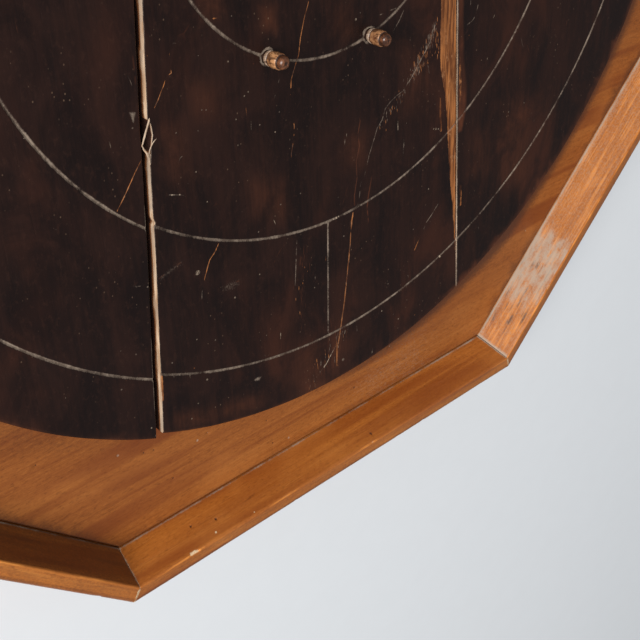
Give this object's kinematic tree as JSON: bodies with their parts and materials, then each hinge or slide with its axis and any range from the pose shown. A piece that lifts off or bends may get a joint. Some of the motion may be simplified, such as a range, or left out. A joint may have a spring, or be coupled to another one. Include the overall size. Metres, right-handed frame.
{
  "type": "crokinole board",
  "caption": "Octagonal wooden crokinole board: raised round playing surface of dark planks with scribed circles, pegs and a centre hole, in a ditch behind sloped rails.",
  "frame": {"origin": "on the ground under the centre of the playing surface, with the board lying on its back on its two battens", "axes": "+Z out of the playing surface, +Y from the bottom rail to the top rail as it hangs on a wall, +X to the right along the bottom rail"},
  "size_m": [0.7862, 0.782, 0.0681],
  "materials": {
    "ditch_wood": "orange-brown varnish, satin, grain along X",
    "rail_wood": "orange-brown varnish, satin, worn at the arris",
    "playing_wood": "near-black brown stain, satin, scratched and worn, grain along Y",
    "peg_wood": "varnished turned wood, glossy",
    "batten_wood": "bare, aged, matte",
    "steel": "dulled, slotted heads",
    "nail_iron": "dark oxide",
    "hanger_brass": "tarnished"
  },
  "bodies": {
    "root": {"base_board_bottom": "ditch_wood", "base_board_middle": "ditch_wood", "base_board_top": "ditch_wood", "batten_left": "batten_wood", "batten_right": "batten_wood", "playing_plank_left": "playing_wood", "playing_plank_centre": "playing_wood", "playing_plank_right": "playing_wood", "peg_1": "peg_wood", "peg_2": "peg_wood", "peg_3": "peg_wood", "peg_4": "peg_wood", "peg_5": "peg_wood", "peg_6": "peg_wood", "peg_7": "peg_wood", "peg_8": "peg_wood", "rail_bottom": "rail_wood", "rail_bottom_right": "rail_wood", "rail_right": "rail_wood", "rail_top_right": "rail_wood", "rail_top": "rail_wood", "rail_top_left": "rail_wood", "rail_left": "rail_wood", "rail_bottom_left": "rail_wood", "batten_screw_1": "steel", "batten_screw_2": "steel", "batten_screw_3": "steel", "batten_screw_4": "steel", "batten_screw_5": "steel", "batten_screw_6": "steel", "disc_screw_1": "steel", "disc_screw_2": "steel", "disc_screw_3": "steel", "disc_screw_4": "steel", "disc_screw_5": "steel", "disc_screw_6": "steel", "disc_screw_7": "steel", "disc_screw_8": "steel", "disc_screw_9": "steel", "disc_screw_10": "steel", "rail_nail_bottom_1": "nail_iron", "rail_nail_bottom_2": "nail_iron", "rail_nail_bottom_right_1": "nail_iron", "rail_nail_bottom_right_2": "nail_iron", "rail_nail_right_1": "nail_iron", "rail_nail_right_2": "nail_iron", "rail_nail_top_right_1": "nail_iron", "rail_nail_top_right_2": "nail_iron", "rail_nail_top_1": "nail_iron", "rail_nail_top_2": "nail_iron", "rail_nail_top_left_1": "nail_iron", "rail_nail_top_left_2": "nail_iron", "rail_nail_left_1": "nail_iron", "rail_nail_left_2": "nail_iron", "rail_nail_bottom_left_1": "nail_iron", "rail_nail_bottom_left_2": "nail_iron", "hanger_plate": "hanger_brass", "hanger_screw_1": "hanger_brass", "hanger_screw_2": "hanger_brass"}
  },
  "joints": []
}
